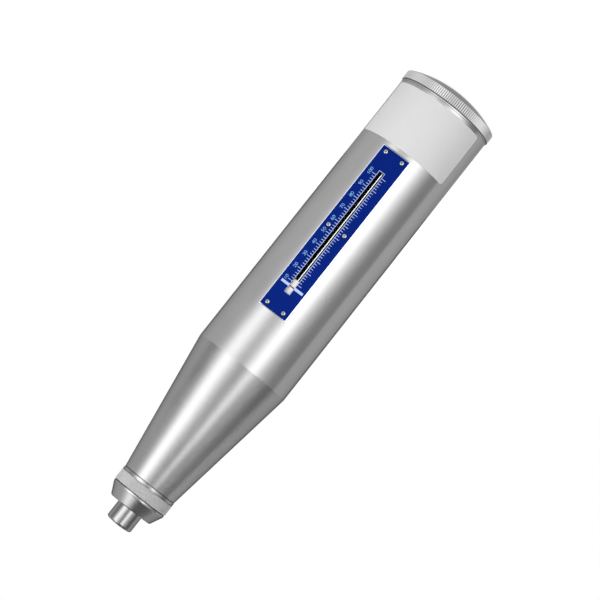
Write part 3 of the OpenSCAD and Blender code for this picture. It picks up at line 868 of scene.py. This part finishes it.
class HAMMER_OT_stage(bpy.types.Operator):
    """Sets the camera, the white surroundings, the floor, the softboxes and the cards"""

    bl_idname = "hammer.stage"
    bl_label = "Camera and light"

    # Distance of the softboxes and the cards from the hammer's axis, in metres
    reach = 0.8
    # Height of the middle of the hammer
    middle = 0.13

    def execute(self, context):
        stage = context.scene.hammer_stage
        context.scene.view_settings.view_transform = "Standard"
        self.camera(context.scene, stage)
        self.surroundings(context.scene, stage)
        self.floor()
        # Angles are from the camera, positive to the side of the plate without numbers
        key = self.glow(stage.key, turn=-39, slant=-0.05, widths=(13, 14), rise=25, tall=32,
                        narrowing=(-0.006, -0.006))
        fill = self.glow(stage.fill, turn=22.5, slant=0, widths=(14, 13), rise=-4, tall=27,
                         narrowing=(0.022, 0.016))
        rear = self.glow(stage.rear, turn=-174, slant=0, widths=(4.5, 4.5), rise=5, tall=40,
                         narrowing=(0, 0))
        self.panel(stage, "key_softbox", (-95, 20), (-45, 70), key)
        self.panel(stage, "fill_softbox", (-20, 75), (-45, 50), fill)
        self.panel(stage, "side_card", (48, 152), (-60, 60), self.side_cover, 0.52)
        self.panel(stage, "ceiling_card", (-24, 152), (20, 72), self.ceiling_cover, 0.2)
        self.panel(stage, "haze_card", (-160, 150), (-6, 70), self.haze_cover, 0.3)
        self.panel(stage, "back_card", (150, 210), (-13, 60), self.full_cover, 0.3)
        self.panel(stage, "rear_softbox", (-190, -158), (-19, 60), rear, reach=0.96 * self.reach)
        self.panel(stage, "tip_flags", (-120, 125), (7, 18), self.flag_cover, 0.1,
                   reach=0.97 * self.reach)
        self.overhead_card()
        return {"FINISHED"}

    def camera(self, scene, stage):
        turn, rise, lean = stage.azimuth, stage.elevation, stage.lean
        back = Vector((math.sin(turn) * math.cos(rise), -math.cos(turn) * math.cos(rise), math.sin(rise)))
        along = (Vector((0, 0, 1)) - back * back.z).normalized()
        across = back.cross(along)
        right = across * math.sin(lean) - along * math.cos(lean)
        up = -along * math.sin(lean) - across * math.cos(lean)
        place = Vector((0, 0, stage.aim)) + across * stage.offset + back * stage.distance
        view = bpy.data.cameras.new("studio_camera")
        view.lens = stage.lens
        view.sensor_width = 36
        view.clip_start, view.clip_end = 0.01, 50
        holder = bpy.data.objects.new("studio_camera", view)
        scene.collection.objects.link(holder)
        turned = Matrix((right, up, back)).transposed()
        holder.matrix_world = Matrix.Translation(place) @ turned.to_4x4()
        scene.camera = holder

    def seen(self, tree):
        """One for rays that show the background, seen straight, in metal or through glass."""
        path = add(tree, "ShaderNodeLightPath").outputs
        first = add(tree, "ShaderNodeMath", {
            0: path["Is Camera Ray"], 1: path["Is Glossy Ray"]}, operation="MAXIMUM").outputs[0]
        return add(tree, "ShaderNodeMath", {
            0: first, 1: path["Is Transmission Ray"]}, operation="MAXIMUM").outputs[0]

    def surroundings(self, scene, stage):
        world = bpy.data.worlds.new("white_studio")
        world.use_nodes = True
        tree = world.node_tree
        tree.nodes.clear()
        white = add(tree, "ShaderNodeBackground", {"Color": linear("#FFFFFF"), "Strength": 1.0})
        room = add(tree, "ShaderNodeBackground", {"Color": linear("#FFFFFF"), "Strength": stage.room})
        mixed = add(tree, "ShaderNodeMixShader", {
            0: self.seen(tree), 1: room.outputs[0], 2: white.outputs[0]})
        add(tree, "ShaderNodeOutputWorld", {"Surface": mixed.outputs[0]})
        scene.world = world

    def floor(self):
        """A white floor that shows only the hammer's soft shadow."""
        material, tree = start_material("white_floor_paper")
        # Paper grain, 0.5 mm across
        fibres = spread(tree, pattern(tree, (0.5, 0.5, 0.5)), 0.0, 1.0)
        grain = shaded(tree, linear("#949494"), fibres, 0.98, 1.02)
        paper = add(tree, "ShaderNodeBsdfDiffuse", {"Color": grain})
        light = add(tree, "ShaderNodeEmission", {"Strength": 0.9})
        lit = add(tree, "ShaderNodeAddShader", {0: paper.outputs[0], 1: light.outputs[0]})
        plain = add(tree, "ShaderNodeBsdfDiffuse", {"Color": linear("#E8E8E8")})
        mixed = add(tree, "ShaderNodeMixShader", {
            0: self.seen(tree), 1: plain.outputs[0], 2: lit.outputs[0]})
        end_material(tree, mixed)
        floor = self.disc("floor", material, count=64, radius=0.7, height=-0.02 * MM)
        # Metal shows the white surroundings below the horizon instead, which are the same white
        floor.visible_glossy = False

    def disc(self, name, material, count, radius, height):
        """A flat round sheet on the hammer's axis, with its sizes in metres."""
        turns = [2 * math.pi * i / count for i in range(count)]
        points = [(radius * math.cos(t), radius * math.sin(t), height) for t in turns]
        return mesh_piece(name, points, [tuple(range(count))], material, None)

    def glow(self, peak, turn, slant, widths, rise, tall, narrowing):
        """Brightness of a softbox that fades from its middle, and may lean or narrow upwards, in degrees."""
        def at(a, e):
            # Leaning and narrowing are counted from 5 degrees below the horizon
            up = e + 5
            off = a - turn - slant * up
            width = widths[off > 0] * min(1.5, max(0.5, 1 - narrowing[off > 0] * up))
            return peak * math.exp(-(off / width) ** 2 / 2 - ((e - rise) / tall) ** 2 / 2)
        return at

    def ramp(self, value, first, full):
        """Zero before one angle and one past another, with a smooth change between."""
        share = min(1, max(0, (value - first) / (full - first)))
        return share * share * (3 - 2 * share)

    def side_cover(self, a, e):
        """A grey card beside the hammer, soft in front, sharp behind, with a thin veil past it."""
        return self.ramp(a, 48, 76) if a < 92 else 0.14

    def ceiling_cover(self, a, e):
        """A dark card above the side without numbers, thinner towards its far end."""
        return self.ramp(e, 20, 36) * self.ramp(a, -20, 20) * (1 - 0.8 * self.ramp(a, 60, 115))

    def haze_cover(self, a, e):
        """A veil that darkens the surroundings a little above the horizon, most at the sides."""
        return (0.15 + 0.11 * self.ramp(abs(a), 45, 70)) * self.ramp(e, -6, 10)

    def flag_cover(self, a, e):
        """Three dark flags, one in front and one at each side, that only the plunger's tip reflects."""
        strength = sum(share * math.exp(-((a - turn) / width) ** 2 / 2)
                       for share, turn, width in ((0.5, -82, 14), (0.35, -2, 6), (0.55, 78, 14)))
        return strength * self.ramp(e, 8, 11) * (1 - self.ramp(e, 15, 17.5))

    def full_cover(self, a, e):
        """A whole card."""
        return 1.0

    def overhead_card(self):
        """A dark card above the hammer, which draws the dark edge of its tip."""
        material, tree = start_material("overhead_card")
        end_material(tree, add(tree, "ShaderNodeEmission", {"Strength": 0.22}))
        self.hide(self.disc("overhead_card", material, count=48, radius=0.55, height=1.3))

    def hide(self, panel):
        """Keeps a card out of the camera's sight, and its grey off matt surfaces."""
        panel.visible_camera = False
        panel.visible_shadow = False
        panel.visible_diffuse = False

    def panel(self, stage, name, turns, rises, amount, grey=None, reach=None):
        """A curved panel round the hammer, hidden from the camera: a softbox, or a card of one grey."""
        material, tree = start_material(name)
        share = add(tree, "ShaderNodeAttribute", attribute_name="amount").outputs["Fac"]
        clear = add(tree, "ShaderNodeBsdfTransparent")
        if grey is None:
            light = add(tree, "ShaderNodeEmission", {"Strength": share})
            shader = add(tree, "ShaderNodeAddShader", {0: clear.outputs[0], 1: light.outputs[0]})
        else:
            card = add(tree, "ShaderNodeEmission", {"Strength": grey})
            shader = add(tree, "ShaderNodeMixShader", {0: share, 1: clear.outputs[0], 2: card.outputs[0]})
        end_material(tree, shader)
        reach = reach or self.reach
        columns, rows = 104, 24
        points, amounts, faces = [], [], []
        for j in range(rows + 1):
            e = rises[0] + (rises[1] - rises[0]) * j / rows
            for i in range(columns + 1):
                a = turns[0] + (turns[1] - turns[0]) * i / columns
                turn = stage.azimuth - math.radians(a)
                points.append((reach * math.sin(turn), -reach * math.cos(turn),
                               self.middle + reach * math.tan(math.radians(e))))
                amounts.append(amount(a, e))
        for j in range(rows):
            for i in range(columns):
                k = j * (columns + 1) + i
                faces.append((k, k + 1, k + columns + 2, k + columns + 1))
        panel = mesh_piece(name, points, faces, material, None)
        values = panel.data.attributes.new("amount", "FLOAT", "POINT")
        values.data.foreach_set("value", amounts)
        self.hide(panel)
        panel.visible_diffuse = grey is None


class HAMMER_PT_sidebar(bpy.types.Panel):
    """Lists the hammer's pieces and settings"""

    bl_idname = "HAMMER_PT_sidebar"
    bl_label = "Concrete test hammer"
    bl_space_type = "VIEW_3D"
    bl_region_type = "UI"
    bl_category = "Hammer"

    def draw(self, context):
        for operator in OPERATORS:
            self.layout.operator(operator.bl_idname)
        for name in GROUPS:
            box = self.layout.box()
            settings = getattr(context.scene, name)
            for key in settings.bl_rna.properties.keys():
                if key not in ("rna_type", "name"):
                    box.prop(settings, key)


GROUPS = {
    "hammer_finishes": HammerFinishes,
    "hammer_knurls": HammerKnurls,
    "hammer_print": HammerPrint,
    "hammer_label": HammerLabel,
    "hammer_stage": HammerStage,
}
OPERATORS = (
    HAMMER_OT_stage,
    HAMMER_OT_housing,
    HAMMER_OT_caps,
    HAMMER_OT_scale_plate,
    HAMMER_OT_scale_print,
    HAMMER_OT_rider,
    HAMMER_OT_label,
    HAMMER_OT_plunger,
    HAMMER_OT_inner_works,
    HAMMER_OT_springs,
    HAMMER_OT_push_button,
)


def register():
    for made in (*GROUPS.values(), *OPERATORS, HAMMER_PT_sidebar):
        bpy.utils.register_class(made)
    for name, group in GROUPS.items():
        setattr(bpy.types.Scene, name, bpy.props.PointerProperty(type=group))


def unregister():
    for name in GROUPS:
        delattr(bpy.types.Scene, name)
    for made in (HAMMER_PT_sidebar, *reversed(OPERATORS), *reversed(GROUPS.values())):
        bpy.utils.unregister_class(made)


def main():
    """Registers the classes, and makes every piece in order."""
    register()
    for operator in OPERATORS:
        group, name = operator.bl_idname.split(".")
        getattr(getattr(bpy.ops, group), name)()


if __name__ == "__main__":
    main()
